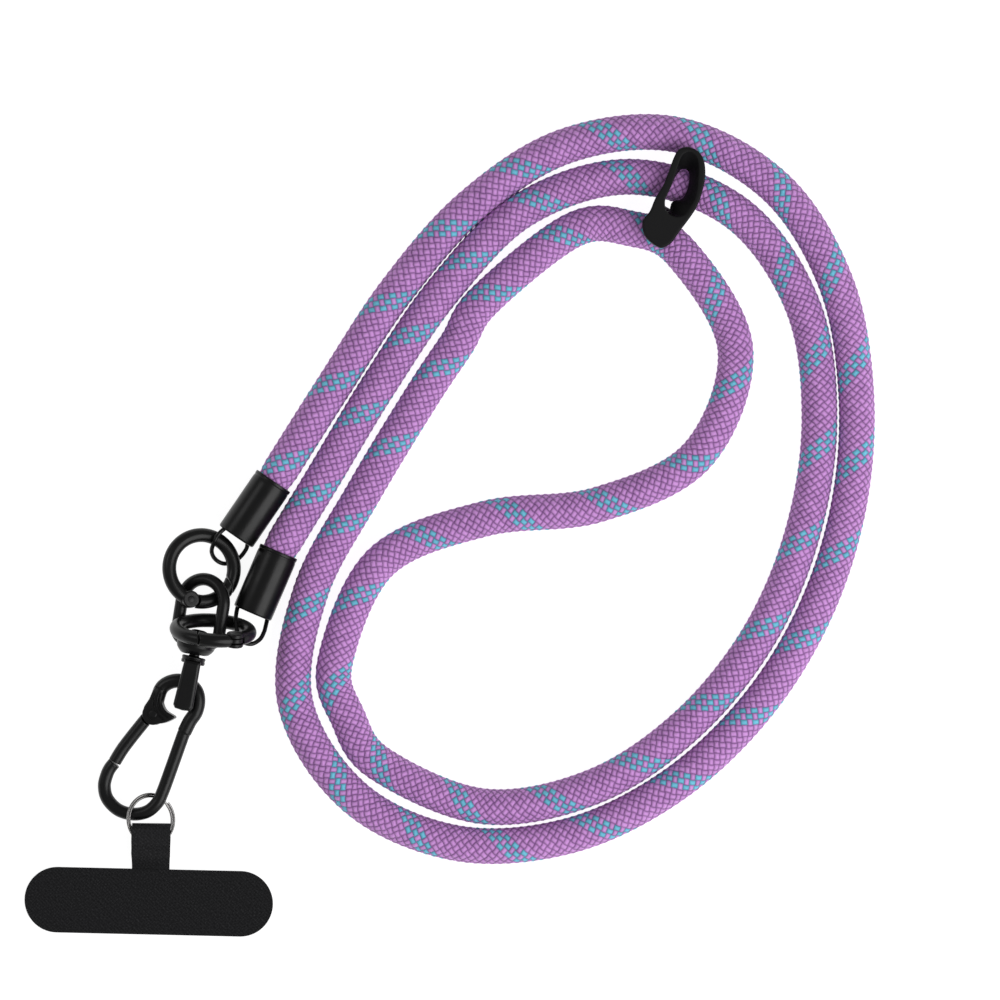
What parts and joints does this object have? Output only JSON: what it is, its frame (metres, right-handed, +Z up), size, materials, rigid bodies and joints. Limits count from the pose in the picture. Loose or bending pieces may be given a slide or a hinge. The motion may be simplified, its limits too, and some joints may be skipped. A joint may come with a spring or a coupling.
{
  "type": "phone crossbody strap",
  "caption": "Braided rope crossbody strap with metal end caps, spring rings, swivel, carabiner and a thin fabric tab that slips under a phone case.",
  "frame": {"origin": "middle of the fabric tab's underside, on the floor that the strap lies on", "axes": "+Z up from the floor, +X along the tab, +Y from the tab towards the spring rings"},
  "size_m": [0.2132, 0.2056, 0.0232],
  "materials": {
    "orchid_rope": "matte braid with a turquoise tracer",
    "black_satin_metal": "satin",
    "gunmetal": "polished",
    "black_webbing": "fine weave",
    "black_silicone": "matte"
  },
  "bodies": {
    "strap": {"rope": "orchid_rope", "rope_keeper": "black_silicone", "end_cap_upper": "black_satin_metal", "end_cap_lower": "black_satin_metal", "bail_upper": "black_satin_metal", "bail_lower": "black_satin_metal", "ring_upper": "black_satin_metal", "ring_lower": "black_satin_metal", "swivel_bow": "black_satin_metal"},
    "swivel_end": {"swivel_eye": "black_satin_metal", "carabiner_frame": "black_satin_metal", "split_ring": "gunmetal", "phone_tab": "black_webbing"},
    "carabiner_gate": {"carabiner_gate": "black_satin_metal"},
    "upper_ring_gate": {"ring_upper_gate": "black_satin_metal"},
    "lower_ring_gate": {"ring_lower_gate": "black_satin_metal"}
  },
  "joints": [
    {"name": "swivel_turn", "type": "hinge", "parent": "strap", "child": "swivel_end", "pos_m": [0.01165, 0.062, 0.0064], "axis": [-0.2099, -0.9777, 0], "continuous": true},
    {"name": "carabiner_gate_hinge", "type": "hinge", "parent": "swivel_end", "child": "carabiner_gate", "pos_m": [0.00145, 0.0471, 0.00455], "axis": [-0.1961, 0, 0.9806], "range_deg": [0, 30], "stiffness_Nm_per_rad": 0.01},
    {"name": "upper_ring_gate_hinge", "type": "hinge", "parent": "strap", "child": "upper_ring_gate", "pos_m": [0.01045, 0.07579, 0.00728], "axis": [0.2818, 0.0479, 0.9583], "range_deg": [0, 8], "stiffness_Nm_per_rad": 0.01},
    {"name": "lower_ring_gate_hinge", "type": "hinge", "parent": "strap", "child": "lower_ring_gate", "pos_m": [0.02206, 0.06588, 0.01957], "axis": [-0.0676, -0.9636, -0.2588], "range_deg": [0, 32], "stiffness_Nm_per_rad": 0.01}
  ]
}
